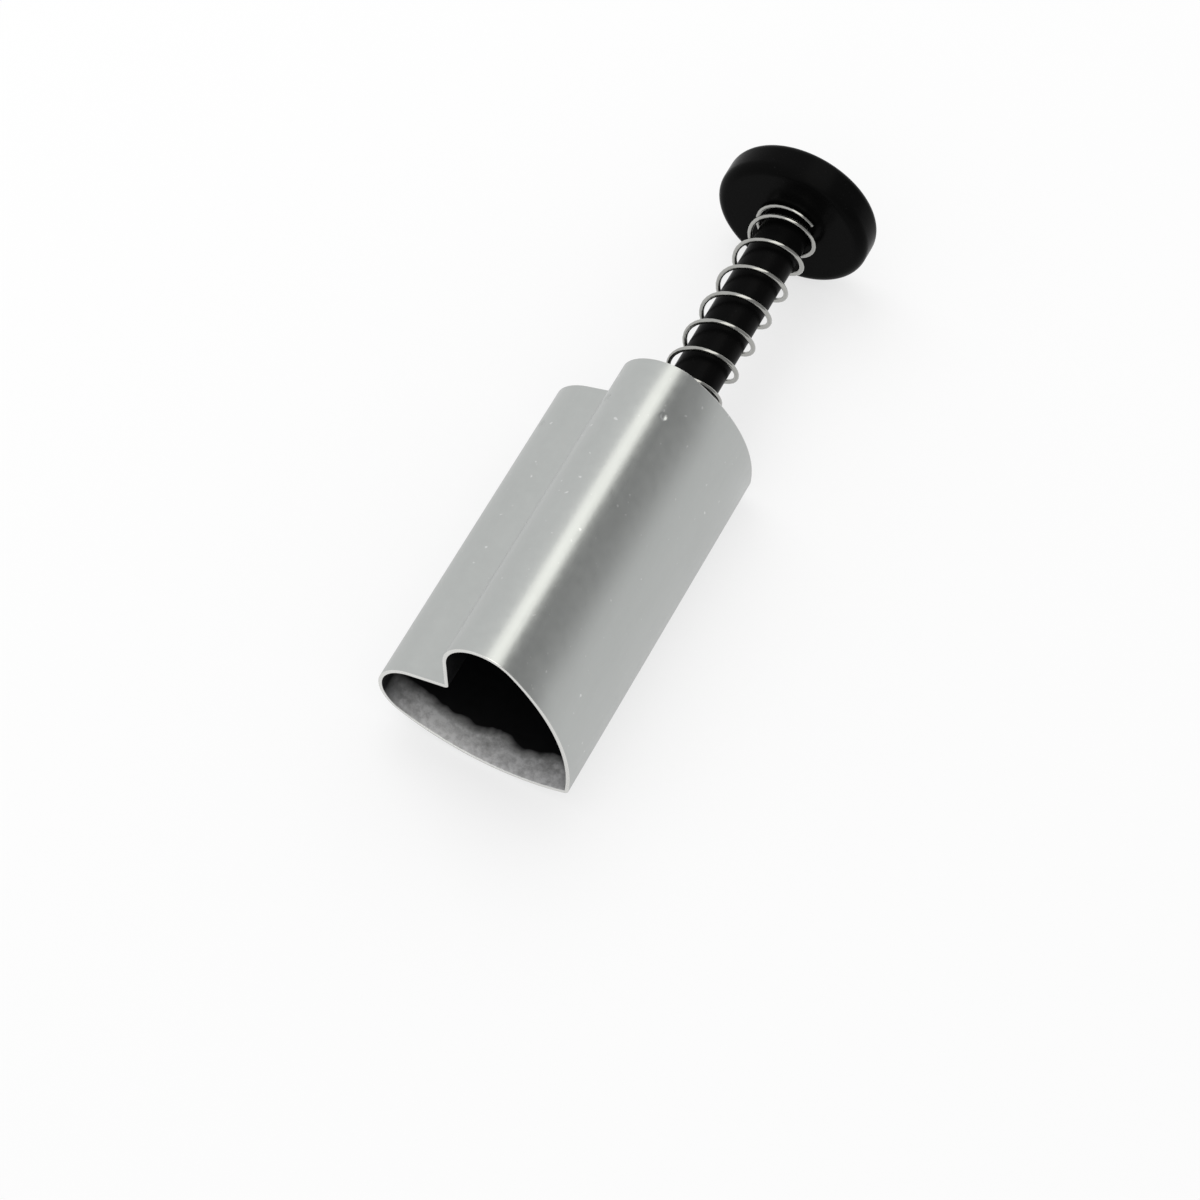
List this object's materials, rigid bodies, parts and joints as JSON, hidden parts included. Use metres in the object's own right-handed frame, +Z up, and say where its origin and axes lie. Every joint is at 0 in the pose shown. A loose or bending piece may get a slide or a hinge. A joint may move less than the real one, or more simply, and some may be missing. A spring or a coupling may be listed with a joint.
{
  "type": "plunger cutter",
  "caption": "Heart-shaped sheet-metal pastry cutter with a spring-loaded black plastic plunger that pushes the cut piece out of its mouth.",
  "frame": {"origin": "on the surface that the cutter lies on, under the middle of its bounding box", "axes": "+Z up; +Y along the plunger's axis from the mouth to the knob; +X across, so that from the mouth's side one lobe points up and the tip points to the right"},
  "size_m": [0.0204, 0.0693, 0.0201],
  "materials": {
    "tube_metal": "satin",
    "inner_plastic": "satin",
    "knob_plastic": "gloss",
    "spring_wire": "bright",
    "screw_steel": "satin"
  },
  "bodies": {
    "barrel": {"cutter_tube": "tube_metal", "guide_plug": "inner_plastic", "return_spring": "spring_wire"},
    "plunger": {"plunger_rod": "knob_plastic", "plunger_knob": "knob_plastic", "ejector_pad": "inner_plastic", "pad_screw": "screw_steel"}
  },
  "joints": [
    {"name": "plunger_slide", "type": "slide", "parent": "barrel", "child": "plunger", "axis": [0, -1, 0], "range_m": [0, 0.022], "stiffness_N_per_m": 250, "springref_m": -0.004, "deforming": ["return_spring"]}
  ]
}
